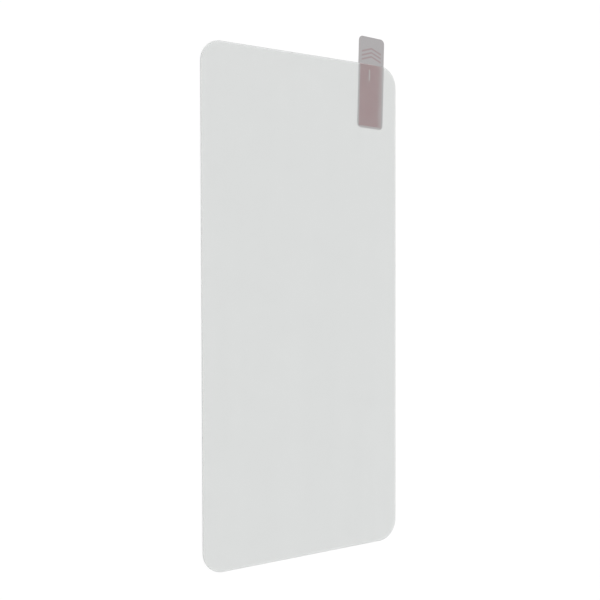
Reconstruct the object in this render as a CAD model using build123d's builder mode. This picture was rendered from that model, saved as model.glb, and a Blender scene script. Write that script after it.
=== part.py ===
from build123d import *
import os

# Phone screen protector as it comes out of its packet, lying face up: a tempered glass plate, the
# glue film laminated to its back, the release liner that covers the glue, and the pull tab stuck to
# the liner's underside.
# The origin is the middle of the glue face that bonds to a screen. +Z points out of the glass's
# front, +Y towards the end with the pull tab, and the tab is on the +X side.
# Sizes are in millimetres and angles in degrees.

# Glass plate
glass_width = 71.0
glass_length = 156.0
glass_thickness = 0.33
corner_radius = 6.65

# Edge of the glass: an arc ground round the front, level with the front face where it starts, and a
# small bevel that takes the sharp edge off the back
rim_width = 0.8
rim_drop = 0.2
back_bevel = 0.03

# Films under the glass, each set back from the glass's edge all round
glue_thickness = 0.15
glue_setback = 0.4
liner_thickness = 0.075
liner_setback = 0.15

# Pull tab: a die-cut label, stuck on by hand a little askew. tab_reach is how far it stands out past
# the glass's end and tab_from_side is from the glass's side to the tab's middle line, both where that
# line crosses the end
tab_width = 10.1
tab_length = 29.5
tab_thickness = 0.08
tab_corner_radius = 1.5
tab_reach = 8.8
tab_from_side = 9.7
tab_skew = 1.8

# Levels, from the glue face at zero
glass_bottom = glue_thickness
liner_bottom = -liner_thickness
tab_bottom = liner_bottom - tab_thickness

# Tempered glass
with BuildPart() as glass:
    with BuildSketch(Plane.XY.offset(glass_bottom)):
        RectangleRounded(glass_width, glass_length, corner_radius)
    extrude(amount=glass_thickness)
    chamfer(glass.edges().group_by(Axis.Z)[0], back_bevel)

    # The ground rim's section, drawn outwards and upwards from the front edge, is swept round that edge
    front_edge = glass.faces().sort_by(Axis.Z)[-1].outer_wire()
    along = front_edge % 0
    outwards = along.cross(Vector(0, 0, 1))
    with BuildSketch(Plane(front_edge @ 0, x_dir=outwards, z_dir=-along)):
        with BuildLine():
            TangentArc((-rim_width, 0), (0, -rim_drop), tangent=(1, 0))
            Polyline((0, -rim_drop), (rim_width, -rim_drop), (rim_width, 0), (-rim_width, 0))
        make_face()
    sweep(path=front_edge, mode=Mode.SUBTRACT)

# Glue film, from the glass's back down to the bonding face
with BuildPart() as glue:
    with BuildSketch():
        RectangleRounded(glass_width, glass_length, corner_radius)
        offset(amount=-glue_setback)
    extrude(amount=glue_thickness)

# Release liner, under the glue
with BuildPart() as liner:
    with BuildSketch(Plane.XY.offset(liner_bottom)):
        RectangleRounded(glass_width, glass_length, corner_radius)
        offset(amount=-liner_setback)
    extrude(amount=liner_thickness)

# Pull tab, under the liner: its own plane stands where its middle line crosses the glass's end
tab_crossing = (glass_width / 2 - tab_from_side, glass_length / 2, tab_bottom)
with BuildPart() as tab:
    with BuildSketch(Plane(tab_crossing).rotated((0, 0, -tab_skew))):
        with Locations((0, tab_reach - tab_length / 2)):
            RectangleRounded(tab_width, tab_length, tab_corner_radius)
    extrude(amount=tab_thickness)

pieces = {"tempered_glass": glass, "adhesive_film": glue, "release_liner": liner, "pull_tab": tab}
os.makedirs("parts", exist_ok=True)
for name, piece in pieces.items():
    piece.part.label = name
    export_step(piece.part, f"parts/{name}.step")
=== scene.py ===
import math
import bpy
from mathutils import Matrix, Vector


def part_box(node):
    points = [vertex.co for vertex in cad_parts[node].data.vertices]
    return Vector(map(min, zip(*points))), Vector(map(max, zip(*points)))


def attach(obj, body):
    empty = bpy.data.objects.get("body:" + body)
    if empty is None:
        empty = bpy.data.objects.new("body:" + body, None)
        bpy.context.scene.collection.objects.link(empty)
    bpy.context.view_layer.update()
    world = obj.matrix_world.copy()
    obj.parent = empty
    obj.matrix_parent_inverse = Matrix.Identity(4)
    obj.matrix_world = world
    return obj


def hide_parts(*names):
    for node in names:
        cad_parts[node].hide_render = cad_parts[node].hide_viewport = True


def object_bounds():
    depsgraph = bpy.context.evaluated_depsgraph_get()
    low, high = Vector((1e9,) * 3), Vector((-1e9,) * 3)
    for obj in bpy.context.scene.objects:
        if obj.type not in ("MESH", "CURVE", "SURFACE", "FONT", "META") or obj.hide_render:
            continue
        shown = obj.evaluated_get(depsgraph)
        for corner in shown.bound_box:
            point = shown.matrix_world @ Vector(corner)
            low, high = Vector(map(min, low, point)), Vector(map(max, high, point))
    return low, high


# A phone screen protector lying face up on a white sweep: tempered glass, the glue film on its back,
# the release liner over the glue, and the pull tab under the liner. Lengths are in metres, and MM
# turns a size in millimetres into metres.

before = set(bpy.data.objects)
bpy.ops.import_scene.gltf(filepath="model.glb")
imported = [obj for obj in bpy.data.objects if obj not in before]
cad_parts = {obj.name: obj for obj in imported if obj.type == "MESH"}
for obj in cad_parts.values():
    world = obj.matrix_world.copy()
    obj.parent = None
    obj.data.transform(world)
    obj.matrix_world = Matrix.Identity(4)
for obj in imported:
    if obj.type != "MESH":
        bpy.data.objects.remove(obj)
cad_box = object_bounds()

MM = 0.001

# Sizes of the part that its boxes in the frame don't give
CORNER_RADIUS = 6.65 * MM
RIM_WIDTH = 0.8 * MM
RIM_DROP = 0.2 * MM
BACK_BEVEL = 0.03 * MM
TAB_WIDTH = 10.1 * MM
TAB_LENGTH = 29.5 * MM
TAB_CORNER_RADIUS = 1.5 * MM
TAB_REACH = 8.8 * MM
TAB_SKEW = math.radians(1.8)

# Meshes: the steps along their curves, the sharpest bend that still looks smooth, how near to each other
# points are welded, and the share of an edge's depth that parts its front loop from its back one
RIM_STEPS = 12
CORNER_STEPS = 32
SHARPEST_SMOOTH_EDGE = math.radians(20)
WELD = 0.0005 * MM
MIDDLE_DEPTH = 0.5

# Faces of neighbouring films stand this far in, so that light meets them one after the other
FILM_GAP = 0.004 * MM

# Refraction: the glass's and the label film's own, and a bonded film's against its neighbours
GLASS_IOR = 1.52
LABEL_IOR = 1.5
BOND_IOR = 1.05

# The ground edge of the glass: the grit of the wheel, drawn coarser than the real one so that it shows,
# how rough it leaves the glass, how much of the side's clearness it takes, and the share of the rim's
# drop that stays polished
GRIND_GRAIN = 0.25 * MM
GROUND_ROUGHNESS = (0.08, 0.2)
GROUND_HAZE = 0.4
POLISHED_SHARE = 0.25

# Streaks that making leaves in the clear sheets, as their size across, along and through. The real ones
# are finer, and are drawn coarser so that a trace of them shows
DRAW_LINE = (6.0 * MM, 150.0 * MM, 1.0 * MM)
COAT_STREAK = (3.0 * MM, 80.0 * MM, 1.0 * MM)
HAZE_BAND = (25.0 * MM, 12.0 * MM, 1.0 * MM)

# What the pull tab shows, in millimetres from the point where its middle line crosses the glass's end:
# across to the right, and along towards the pull end. FIELD_FADE and WET_OUT_DEPTH are shares of the
# print's strength, and CHEVRON_SLOPE is a rise over a run
FIELD_MARGIN = 0.5
FIELD_SOFTNESS = 0.3
FIELD_FADE_WIDTH = 2.4
FIELD_FADE = 0.6
STEM_SIDE = -0.7
STEM_WIDTH = 0.35
STEM_TOP = -1.8
STEM_FOOT = -5.2
CHEVRON_FOOT = 2.6
CHEVRON_TOP = 5.5
CHEVRON_PITCH = 1.3
CHEVRON_STROKE = 0.45
CHEVRON_SLOPE = 0.35
CHEVRON_HALF_SPAN = 3.8
PRINT_SOFTNESS = 0.1
WET_OUT_SPOT = 2.5
WET_OUT_DEPTH = 0.15

# The frost of the tab's film: its grain and height in millimetres, the share that it shades the film by,
# and its roughness. It is finer on the real film, and is drawn coarser so that it shows
FROST_GRAIN = 0.35
FROST_HEIGHT = 0.006
FROST_SHADE = 0.04
FROST_ROUGHNESS = (0.4, 0.6)

# Where a noise texture's values mostly lie
NOISE_LOW = 0.3
NOISE_HIGH = 0.7

# The photograph's camera: how the glass is turned in front of it, and where its middle lies
CAMERA_YAW = math.radians(31.99)
CAMERA_PITCH = math.radians(1.30)
CAMERA_ROLL = math.radians(0.145)
CAMERA_DISTANCE = 272.95 * MM
GLASS_RIGHT_OF_AXIS = 1.72 * MM
GLASS_ABOVE_AXIS = -1.95 * MM
FOCAL_LENGTH_PX = 878.3
PHOTO_PX = 600
SENSOR_MM = 36.0
NEAREST_SEEN = 10.0 * MM

# Light: from all round and from a soft key, which together bring a level white surface to 1
AMBIENT = 0.7
KEY_LEVEL = 0.3
KEY_FROM = (-0.9, 0.9, 1.6)
KEY_SOFTNESS = math.radians(40)

# What reflections find at the horizon, and how high over it they find full white
HORIZON_GLOSS = 0.6
HORIZON_HEIGHT = 0.4

# Floor: its size, and what lifts its pale grey to white where the eye sees it
FLOOR_HALF_WIDTH = 3.0
FLOOR_LIFT = 0.13

glass_low, glass_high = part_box("tempered_glass")
glue_low, glue_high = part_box("adhesive_film")
liner_low, liner_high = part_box("release_liner")
tab_low, tab_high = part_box("pull_tab")


def linear(code):
    """The linear RGBA colour of an sRGB hex code such as #B0ADAE."""
    channels = [int(code[i:i + 2], 16) / 255 for i in (1, 3, 5)]
    return (*(c / 12.92 if c <= 0.04045 else ((c + 0.055) / 1.055) ** 2.4 for c in channels), 1.0)


def add(tree, kind, inputs=None, **settings):
    """A node of that kind, with its settings, and each input linked to a socket or set to a value."""
    node = tree.nodes.new(kind)
    for name, value in settings.items():
        setattr(node, name, value)
    for name, value in (inputs or {}).items():
        if isinstance(value, bpy.types.NodeSocket):
            tree.links.new(value, node.inputs[name])
        else:
            node.inputs[name].default_value = value
    return node


def plate_edge(tree, given):
    """The section swept round the plate's rounded outline."""
    rectangle = add(tree, "GeometryNodeCurvePrimitiveQuadrilateral", {
        "Width": given["Width"], "Height": given["Length"]})
    outline = add(tree, "GeometryNodeFilletCurve", {
        "Curve": rectangle.outputs["Curve"], "Radius": given["Corner Radius"],
        "Count": given["Corner Steps"]}, mode="POLY")
    section = add(tree, "GeometryNodeObjectInfo", {"Object": given["Section"]})
    swept = add(tree, "GeometryNodeCurveToMesh", {
        "Curve": outline.outputs["Curve"], "Profile Curve": section.outputs["Geometry"]})
    return swept.outputs["Mesh"]


def edge_heights(tree, edge):
    """The heights of an edge's front and back, and how far a point of it is from the one to the other."""
    box = add(tree, "GeometryNodeBoundBox", {"Geometry": edge}).outputs
    front = add(tree, "ShaderNodeSeparateXYZ", {0: box["Max"]}).outputs["Z"]
    back = add(tree, "ShaderNodeSeparateXYZ", {0: box["Min"]}).outputs["Z"]
    place = add(tree, "GeometryNodeInputPosition").outputs[0]
    height = add(tree, "ShaderNodeSeparateXYZ", {0: place}).outputs["Z"]
    depth = add(tree, "ShaderNodeMapRange", {
        "Value": height, "From Min": front, "From Max": back}).outputs[0]
    return front, back, depth


def plate_face(tree, edge, chosen, level):
    """The flat face at that level which fills the chosen loop of an edge."""
    loop = add(tree, "GeometryNodeMeshToCurve", {"Mesh": edge, "Selection": chosen})
    filled = add(tree, "GeometryNodeFillCurve", {"Curve": loop.outputs["Curve"]}, mode="NGONS")
    lift = add(tree, "ShaderNodeCombineXYZ", {"Z": level})
    placed = add(tree, "GeometryNodeTransform", {
        "Geometry": filled.outputs["Mesh"], "Translation": lift.outputs[0]})
    flat = add(tree, "GeometryNodeSetShadeSmooth", {
        "Geometry": placed.outputs["Geometry"], "Shade Smooth": False}, domain="FACE")
    return flat.outputs["Geometry"]


def plate_faces(tree, edge, front, back, depth):
    """The plate's front and back, which fill the two loops that its edge leaves open."""
    faces_beside = add(tree, "GeometryNodeInputMeshEdgeNeighbors").outputs["Face Count"]
    opened = add(tree, "FunctionNodeCompare", {
        "A": faces_beside, "B": 1}, data_type="INT", operation="EQUAL").outputs[0]
    made = []
    for level, side in ((front, "LESS_THAN"), (back, "GREATER_THAN")):
        near = add(tree, "FunctionNodeCompare", {
            "A": depth, "B": MIDDLE_DEPTH}, data_type="FLOAT", operation=side).outputs[0]
        chosen = add(tree, "FunctionNodeBooleanMath", {0: opened, 1: near}, operation="AND").outputs[0]
        made.append(plate_face(tree, edge, chosen, level))
    turned = add(tree, "GeometryNodeFlipFaces", {"Mesh": made.pop()})
    return [*made, turned.outputs["Mesh"]]


def closed_solid(tree, parts):
    """The parts welded into one solid, smooth along its ground edge and sharp at its arrises."""
    joined = add(tree, "GeometryNodeJoinGeometry")
    for part in parts:
        tree.links.new(part, joined.inputs["Geometry"])
    welded = add(tree, "GeometryNodeMergeByDistance", {
        "Geometry": joined.outputs["Geometry"], "Distance": WELD})
    bend = add(tree, "GeometryNodeInputMeshEdgeAngle")
    arris = add(tree, "FunctionNodeCompare", {
        "A": bend.outputs["Unsigned Angle"], "B": SHARPEST_SMOOTH_EDGE},
        data_type="FLOAT", operation="GREATER_THAN")
    sharp = add(tree, "GeometryNodeSetShadeSmooth", {
        "Geometry": welded.outputs["Geometry"], "Selection": arris.outputs[0],
        "Shade Smooth": False}, domain="EDGE")
    return sharp.outputs["Geometry"]


def swept_plate_tree():
    """The node tree of a plate with rounded corners, whose edge has the section that it is given."""
    tree = bpy.data.node_groups.new("swept_plate", "GeometryNodeTree")
    for name, kind in (
        ("Width", "NodeSocketFloat"),
        ("Length", "NodeSocketFloat"),
        ("Corner Radius", "NodeSocketFloat"),
        ("Corner Steps", "NodeSocketInt"),
        ("Section", "NodeSocketObject"),
        ("Finish", "NodeSocketMaterial"),
    ):
        tree.interface.new_socket(name, in_out="INPUT", socket_type=kind)
    tree.interface.new_socket("Plate", in_out="OUTPUT", socket_type="NodeSocketGeometry")
    given = add(tree, "NodeGroupInput").outputs
    edge = plate_edge(tree, given)
    front, back, depth = edge_heights(tree, edge)
    marked = add(tree, "GeometryNodeStoreNamedAttribute", {
        "Geometry": edge, "Name": "edge_depth", "Value": depth}, data_type="FLOAT", domain="CORNER")
    faces = plate_faces(tree, edge, front, back, depth)
    solid = closed_solid(tree, [marked.outputs["Geometry"], *faces])
    real = add(tree, "GeometryNodeRealizeInstances", {"Geometry": solid})
    finished = add(tree, "GeometryNodeSetMaterial", {
        "Geometry": real.outputs["Geometry"], "Material": given["Finish"]})
    add(tree, "NodeGroupOutput", {"Plate": finished.outputs["Geometry"]})
    return tree


def section_line(points):
    """An open line through points given as outward and height. A sweep takes y downwards."""
    curve = bpy.data.curves.new("section", "CURVE")
    curve.dimensions = "3D"
    line = curve.splines.new("POLY")
    line.points.add(len(points) - 1)
    for point, (outward, height) in zip(line.points, points):
        point.co = (outward, -height, 0.0, 1.0)
    drawn = bpy.data.objects.new("section", curve)
    bpy.context.scene.collection.objects.link(drawn)
    return drawn


def swept_plate(tree, name, width, length, corner_radius, section, finish, place=Matrix.Identity(4)):
    """A plain mesh object made by the swept plate tree and put in its place."""
    piece = bpy.data.objects.new(name, bpy.data.meshes.new(name))
    bpy.context.scene.collection.objects.link(piece)
    maker = piece.modifiers.new("swept plate", "NODES")
    maker.node_group = tree
    drawn = section_line(section)
    values = {
        "Width": width, "Length": length, "Corner Radius": corner_radius,
        "Corner Steps": CORNER_STEPS, "Section": drawn, "Finish": finish,
    }
    for socket in tree.interface.items_tree:
        if socket.in_out == "INPUT":
            maker[socket.identifier] = values[socket.name]
    graph = bpy.context.evaluated_depsgraph_get()
    made = bpy.data.meshes.new_from_object(
        piece.evaluated_get(graph), preserve_all_data_layers=True, depsgraph=graph)
    piece.modifiers.remove(maker)
    bpy.data.objects.remove(drawn)
    # Set Material leaves an empty slot in front of its own
    made.materials.pop(index=0)
    made.transform(place)
    made.name = name
    piece.data = made
    return piece


def glass_section():
    """From the front face over the ground rim, down the side and round the bevel at the back."""
    radius = (RIM_WIDTH ** 2 + RIM_DROP ** 2) / (2 * RIM_DROP)
    sweep = 2 * math.atan(RIM_DROP / RIM_WIDTH)
    points = []
    for step in range(RIM_STEPS + 1):
        angle = sweep * step / RIM_STEPS
        fall = radius * (1 - math.cos(angle))
        points.append((radius * math.sin(angle) - RIM_WIDTH, glass_high.z - fall))
    points.append((0.0, glass_low.z + BACK_BEVEL))
    points.append((-BACK_BEVEL, glass_low.z))
    return points


def film_section(low, high):
    """The square edge that a die leaves on a film."""
    return [(0.0, high.z - FILM_GAP), (0.0, low.z + FILM_GAP)]


def tab_place():
    """Where the pull tab lies: about the middle of its box, turned by its skew."""
    middle = (tab_low + tab_high) / 2
    return Matrix.Translation((middle.x, middle.y, 0.0)) @ Matrix.Rotation(-TAB_SKEW, 4, "Z")


def new_material(name):
    """An empty node material, its tree and its output."""
    material = bpy.data.materials.new(name)
    material.use_nodes = True
    material.node_tree.nodes.clear()
    return material, material.node_tree, add(material.node_tree, "ShaderNodeOutputMaterial")


def mottle(tree, spot, grain, low, high):
    """A soft random pattern with spots of that size, from low to high."""
    noise = add(tree, "ShaderNodeTexNoise", {"Vector": spot, "Scale": 1.0 / grain}).outputs["Fac"]
    return add(tree, "ShaderNodeMapRange", {
        "Value": noise, "From Min": NOISE_LOW, "From Max": NOISE_HIGH,
        "To Min": low, "To Max": high}).outputs[0]


def streaked_tint(tree, clear, tinted, streak):
    """A colour that drifts from clear to tinted in soft streaks of that size."""
    place = add(tree, "ShaderNodeTexCoord").outputs["Object"]
    spot = add(tree, "ShaderNodeMapping", {
        "Vector": place, "Scale": streak}, vector_type="TEXTURE").outputs[0]
    return add(tree, "ShaderNodeMix", {
        "Factor": mottle(tree, spot, grain=1.0, low=0.0, high=1.0), "A": linear(clear), "B": linear(tinted)},
        data_type="RGBA").outputs["Result"]


def show_clear(tree, output, shader, passed):
    """Shows the eye the shader, and lets the light that falls on what lies below straight through,
    filtered at each face by the colour passed."""
    straight = add(tree, "ShaderNodeBsdfTransparent", {"Color": linear(passed)})
    rays = add(tree, "ShaderNodeLightPath").outputs
    surface = shader.outputs["BSDF"]
    for kind in ("Is Diffuse Ray", "Is Shadow Ray"):
        surface = add(tree, "ShaderNodeMixShader", {
            0: rays[kind], 1: surface, 2: straight.outputs["BSDF"]}).outputs["Shader"]
    tree.links.new(surface, output.inputs["Surface"])


def tempered_glass():
    """Toughened float glass, faintly grey-green: clear polished faces with a trace of the lines that it was
    drawn in, and a rim that goes from polished to finely ground, matt and hazy, down its side."""
    material, tree, output = new_material("tempered_float_glass")
    depth = add(tree, "ShaderNodeAttribute", attribute_name="edge_depth").outputs["Fac"]
    rim_foot = RIM_DROP / (glass_high.z - glass_low.z)
    ground = add(tree, "ShaderNodeMapRange", {
        "Value": depth, "From Min": POLISHED_SHARE * rim_foot, "From Max": rim_foot},
        interpolation_type="SMOOTHSTEP").outputs[0]
    place = add(tree, "ShaderNodeTexCoord").outputs["Object"]
    grit = mottle(tree, place, GRIND_GRAIN, *GROUND_ROUGHNESS)
    roughness = add(tree, "ShaderNodeMath", {0: ground, 1: grit}, operation="MULTIPLY").outputs[0]
    clearness = add(tree, "ShaderNodeMapRange", {
        "Value": ground, "To Min": 1.0, "To Max": 1.0 - GROUND_HAZE}).outputs[0]
    polished = streaked_tint(tree, "#F2F4F3", "#F1F3F2", DRAW_LINE)
    colour = add(tree, "ShaderNodeMix", {
        "Factor": ground, "A": polished, "B": linear("#D4D6D5")}, data_type="RGBA").outputs["Result"]
    shader = add(tree, "ShaderNodeBsdfPrincipled", {
        "Base Color": colour, "Roughness": roughness, "IOR": GLASS_IOR, "Transmission Weight": clearness})
    show_clear(tree, output, shader, "#F3F3F3")
    return material


def bonded_film(name, streak):
    """A clear glossy film, stuck to its neighbours so well that its faces hardly bend or mirror light: it
    shows only as a trace of streaks. Its IOR is the one that it has against them."""
    material, tree, output = new_material(name)
    shader = add(tree, "ShaderNodeBsdfPrincipled", {
        "Base Color": streaked_tint(tree, "#FEFEFE", "#FDFDFD", streak), "Roughness": 0.0, "IOR": BOND_IOR,
        "Transmission Weight": 1.0})
    show_clear(tree, output, shader, "#FDFDFD")
    return material


def silicone_glue():
    """Clear silicone glue: long faint streaks along the glass, the way that it was coated."""
    return bonded_film("clear_silicone_glue", COAT_STREAK)


def polyester_liner():
    """Clear polyester film: faint bands of haze across the glass, the way that the mill wound it."""
    return bonded_film("clear_polyester_film", HAZE_BAND)


def tab_spot(tree):
    """A point of the pull tab in millimetres, across and along from where it crosses the glass's end."""
    crossing = tab_place() @ Vector((0.0, TAB_LENGTH / 2 - TAB_REACH, 0.0))
    place = add(tree, "ShaderNodeTexCoord").outputs["Object"]
    return add(tree, "ShaderNodeMapping", {
        "Vector": place, "Location": crossing, "Rotation": (0.0, 0.0, -TAB_SKEW), "Scale": (MM, MM, MM)},
        vector_type="TEXTURE").outputs[0]


def overlap(tree, edges):
    """The overlap of soft steps, each with what it measures, where it is clear, where it is full, and how
    much of it is left where it is clear."""
    mark = None
    for measure, clear, full, left in edges:
        step = add(tree, "ShaderNodeMapRange", {
            "Value": measure, "From Min": clear, "From Max": full, "To Min": left},
            interpolation_type="SMOOTHSTEP").outputs[0]
        if mark is not None:
            step = add(tree, "ShaderNodeMath", {0: mark, 1: step}, operation="MULTIPLY").outputs[0]
        mark = step
    return mark


def stuck_end(tree, along):
    """Where the pull tab is stuck to the liner."""
    liner_end = (liner_high.y - glass_high.y) / MM
    return overlap(tree, [(along, liner_end + PRINT_SOFTNESS, liner_end - PRINT_SOFTNESS, 0.0)])


def printed_field(tree, across, along):
    """The field printed on the pull tab, which fades to the right, with a stem left bare in it."""
    half = TAB_WIDTH / MM / 2
    foot = (TAB_REACH - TAB_LENGTH) / MM
    field = overlap(tree, [
        (along, foot + FIELD_MARGIN, foot + FIELD_MARGIN + FIELD_SOFTNESS, 0.0),
        (across, FIELD_MARGIN - half, FIELD_MARGIN + FIELD_SOFTNESS - half, 0.0),
        (across, half - FIELD_MARGIN, half - FIELD_MARGIN - FIELD_SOFTNESS, 0.0),
        (across, half - FIELD_MARGIN, half - FIELD_MARGIN - FIELD_FADE_WIDTH, 1.0 - FIELD_FADE),
    ])
    from_stem = add(tree, "ShaderNodeMath", {0: across, 1: STEM_SIDE}, operation="SUBTRACT").outputs[0]
    from_stem = add(tree, "ShaderNodeMath", {0: from_stem}, operation="ABSOLUTE").outputs[0]
    stem = overlap(tree, [
        (from_stem, STEM_WIDTH / 2 + PRINT_SOFTNESS, STEM_WIDTH / 2, 0.0),
        (along, STEM_TOP + PRINT_SOFTNESS, STEM_TOP, 0.0),
        (along, STEM_FOOT - PRINT_SOFTNESS, STEM_FOOT, 0.0),
    ])
    return add(tree, "ShaderNodeMath", {0: field, 1: stem}, operation="SUBTRACT", use_clamp=True).outputs[0]


def pull_chevrons(tree, across, along):
    """The chevrons printed on the pull tab's free end, which point the way to pull."""
    from_middle = add(tree, "ShaderNodeMath", {0: across}, operation="ABSOLUTE").outputs[0]
    rise = add(tree, "ShaderNodeMath", {
        0: from_middle, 1: CHEVRON_SLOPE, 2: along}, operation="MULTIPLY_ADD").outputs[0]
    wave = add(tree, "ShaderNodeMath", {0: rise, 1: CHEVRON_FOOT}, operation="SUBTRACT").outputs[0]
    wave = add(tree, "ShaderNodeMath", {0: wave, 1: CHEVRON_PITCH / 2}, operation="PINGPONG").outputs[0]
    return overlap(tree, [
        (wave, CHEVRON_STROKE / 2 + PRINT_SOFTNESS, CHEVRON_STROKE / 2, 0.0),
        (rise, CHEVRON_FOOT - CHEVRON_STROKE, CHEVRON_FOOT - CHEVRON_STROKE / 2, 0.0),
        (rise, CHEVRON_TOP + PRINT_SOFTNESS, CHEVRON_TOP, 0.0),
        (from_middle, CHEVRON_HALF_SPAN + PRINT_SOFTNESS, CHEVRON_HALF_SPAN, 0.0),
    ])


def label_film():
    """Frosted polyester label, printed in mauve: matt and grey. Its stuck end, film and print alike, is
    painted paler, to offset the shade that the glass over it casts.
    """
    material, tree, output = new_material("frosted_polyester_label")
    spot = tab_spot(tree)
    axes = add(tree, "ShaderNodeSeparateXYZ", {0: spot}).outputs
    across, along = axes["X"], axes["Y"]

    # The print is a little weaker in clouds, where the label's own glue has wet the liner less
    wet = mottle(tree, spot, WET_OUT_SPOT, 1.0 - WET_OUT_DEPTH, 1.0)
    field = add(tree, "ShaderNodeMath", {
        0: printed_field(tree, across, along), 1: wet}, operation="MULTIPLY").outputs[0]
    free = add(tree, "ShaderNodeMix", {
        "Factor": pull_chevrons(tree, across, along), "A": linear("#ACA9AA"), "B": linear("#A19293")},
        data_type="RGBA").outputs["Result"]
    # The stuck end's film and print are painted paler than the free end's, to offset the glass's shade on
    # them
    stuck = add(tree, "ShaderNodeMix", {
        "Factor": field, "A": linear("#CBC6C8"), "B": linear("#B59698")}, data_type="RGBA").outputs["Result"]
    colour = add(tree, "ShaderNodeMix", {
        "Factor": stuck_end(tree, along), "A": free, "B": stuck}, data_type="RGBA").outputs["Result"]

    shade = mottle(tree, spot, FROST_GRAIN, 1.0 - FROST_SHADE, 1.0 + FROST_SHADE)
    colour = add(tree, "ShaderNodeHueSaturation", {"Color": colour, "Value": shade}).outputs["Color"]
    height = mottle(tree, spot, FROST_GRAIN, 0.0, 1.0)
    relief = add(tree, "ShaderNodeBump", {"Height": height, "Distance": FROST_HEIGHT * MM}).outputs["Normal"]
    surface = add(tree, "ShaderNodeBsdfPrincipled", {
        "Base Color": colour, "Roughness": mottle(tree, spot, FROST_GRAIN, *FROST_ROUGHNESS),
        "IOR": LABEL_IOR, "Normal": relief})
    tree.links.new(surface.outputs["BSDF"], output.inputs["Surface"])
    return material


def white_sweep():
    """Matt white paper, lifted to pure white where the eye sees it, with its shadows kept."""
    material, tree, output = new_material("white_paper_sweep")
    rays = add(tree, "ShaderNodeLightPath").outputs
    seen = add(tree, "ShaderNodeMath", {
        0: rays["Is Camera Ray"], 1: rays["Is Glossy Ray"]}, operation="MAXIMUM").outputs[0]
    seen = add(tree, "ShaderNodeMath", {
        0: seen, 1: rays["Is Transmission Ray"]}, operation="MAXIMUM").outputs[0]
    lift = add(tree, "ShaderNodeMath", {0: seen, 1: FLOOR_LIFT}, operation="MULTIPLY").outputs[0]
    glow = add(tree, "ShaderNodeEmission", {"Strength": lift})
    paper = add(tree, "ShaderNodeBsdfDiffuse", {"Color": linear("#F3F3F3")})
    both = add(tree, "ShaderNodeAddShader", {0: paper.outputs[0], 1: glow.outputs[0]})
    tree.links.new(both.outputs[0], output.inputs["Surface"])
    return material


def floor():
    """A wide square under the part."""
    level = cad_box[0].z
    square = ((-1, -1), (1, -1), (1, 1), (-1, 1))
    corners = [(x * FLOOR_HALF_WIDTH, y * FLOOR_HALF_WIDTH, level) for x, y in square]
    mesh = bpy.data.meshes.new("floor")
    mesh.from_pydata(corners, [], [(0, 1, 2, 3)])
    mesh.materials.append(white_sweep())
    made = bpy.data.objects.new("floor", mesh)
    bpy.context.scene.collection.objects.link(made)
    return made


def studio_world():
    """Even white light from all round. The eye sees it white, and reflections a dimmer horizon."""
    world = bpy.data.worlds.new("studio")
    world.use_nodes = True
    tree = world.node_tree
    tree.nodes.clear()
    rays = add(tree, "ShaderNodeLightPath").outputs
    direction = add(tree, "ShaderNodeTexCoord").outputs["Generated"]
    height = add(tree, "ShaderNodeSeparateXYZ", {0: direction}).outputs["Z"]
    mirrored = add(tree, "ShaderNodeMapRange", {
        "Value": height, "From Max": HORIZON_HEIGHT, "To Min": HORIZON_GLOSS}).outputs[0]
    unseen = add(tree, "ShaderNodeMapRange", {
        "Value": rays["Is Glossy Ray"], "To Min": AMBIENT, "To Max": mirrored}).outputs[0]
    seen = add(tree, "ShaderNodeMath", {
        0: rays["Is Camera Ray"], 1: rays["Is Transmission Ray"]}, operation="MAXIMUM").outputs[0]
    strength = add(tree, "ShaderNodeMapRange", {"Value": seen, "To Min": unseen}).outputs[0]
    background = add(tree, "ShaderNodeBackground", {"Color": linear("#FFFFFF"), "Strength": strength})
    add(tree, "ShaderNodeOutputWorld", {"Surface": background.outputs[0]})
    bpy.context.scene.world = world


def key_light():
    """A broad soft light from over the left of the tab end, which gives a level white surface KEY_LEVEL."""
    way = Vector(KEY_FROM).normalized()
    light = bpy.data.lights.new("key", "SUN")
    light.angle = KEY_SOFTNESS
    light.energy = KEY_LEVEL * math.pi / way.z
    lamp = bpy.data.objects.new("key", light)
    lamp.rotation_euler = (-way).to_track_quat("-Z", "Y").to_euler()
    # Its mirror images in the two faces of the glass would clip to white
    lamp.visible_glossy = False
    lamp.visible_transmission = False
    bpy.context.scene.collection.objects.link(lamp)


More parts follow.
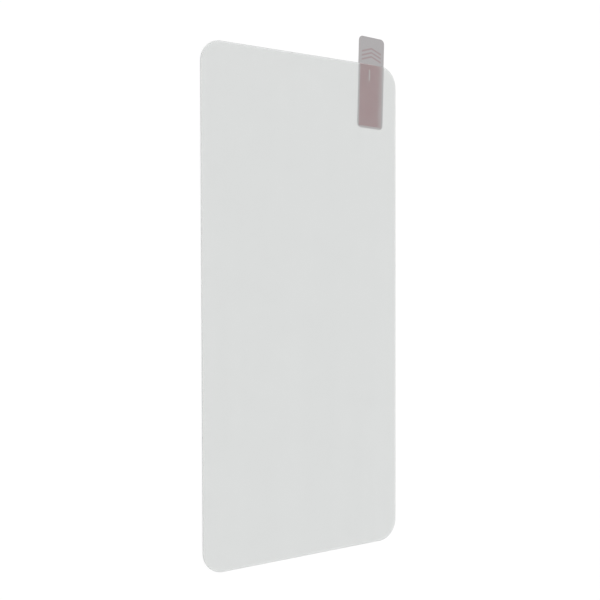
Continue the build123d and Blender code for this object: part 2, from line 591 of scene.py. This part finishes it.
def photo_camera():
    """The camera as it stands to the glass in the photograph, looking down on it."""
    data = bpy.data.cameras.new("photo_camera")
    data.sensor_width = SENSOR_MM
    data.lens = FOCAL_LENGTH_PX / PHOTO_PX * SENSOR_MM
    data.clip_start = NEAREST_SEEN
    camera = bpy.data.objects.new("photo_camera", data)
    turn = (
        Matrix.Rotation(CAMERA_ROLL, 4, "Z")
        @ Matrix.Rotation(CAMERA_PITCH, 4, "X")
        @ Matrix.Rotation(CAMERA_YAW, 4, "Y")
    )
    middle = Vector(((glass_low.x + glass_high.x) / 2, (glass_low.y + glass_high.y) / 2, glass_high.z))
    back = Vector((-GLASS_RIGHT_OF_AXIS, -GLASS_ABOVE_AXIS, CAMERA_DISTANCE))
    camera.matrix_world = Matrix.Translation(middle) @ turn.inverted() @ Matrix.Translation(back)
    bpy.context.scene.collection.objects.link(camera)
    bpy.context.scene.camera = camera


def add_pieces():
    """The four pieces, each in place of its node."""
    tree = swept_plate_tree()
    glass_size = glass_high - glass_low
    glue_size = glue_high - glue_low
    liner_size = liner_high - liner_low
    glue_setback = (glass_size.x - glue_size.x) / 2
    liner_setback = (glass_size.x - liner_size.x) / 2

    glass = swept_plate(
        tree, "glass_plate", glass_size.x, glass_size.y, CORNER_RADIUS, glass_section(), tempered_glass())
    glue = swept_plate(
        tree, "glue_film", glue_size.x, glue_size.y, CORNER_RADIUS - glue_setback,
        film_section(glue_low, glue_high), silicone_glue())
    liner = swept_plate(
        tree, "liner_film", liner_size.x, liner_size.y, CORNER_RADIUS - liner_setback,
        film_section(liner_low, liner_high), polyester_liner())
    tab = swept_plate(
        tree, "label_tab", TAB_WIDTH, TAB_LENGTH, TAB_CORNER_RADIUS,
        film_section(tab_low, tab_high), label_film(), tab_place())
    for piece, node, slot in (
        (glass, "tempered_glass", "clear_glass"),
        (glue, "adhesive_film", "silicone_glue"),
        (liner, "release_liner", "clear_pet"),
        (tab, "pull_tab", "frosted_label_film"),
    ):
        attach(piece, "root")
        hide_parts(node)


add_pieces()
floor()
studio_world()
key_light()
photo_camera()
bpy.context.scene.view_settings.view_transform = "Standard"
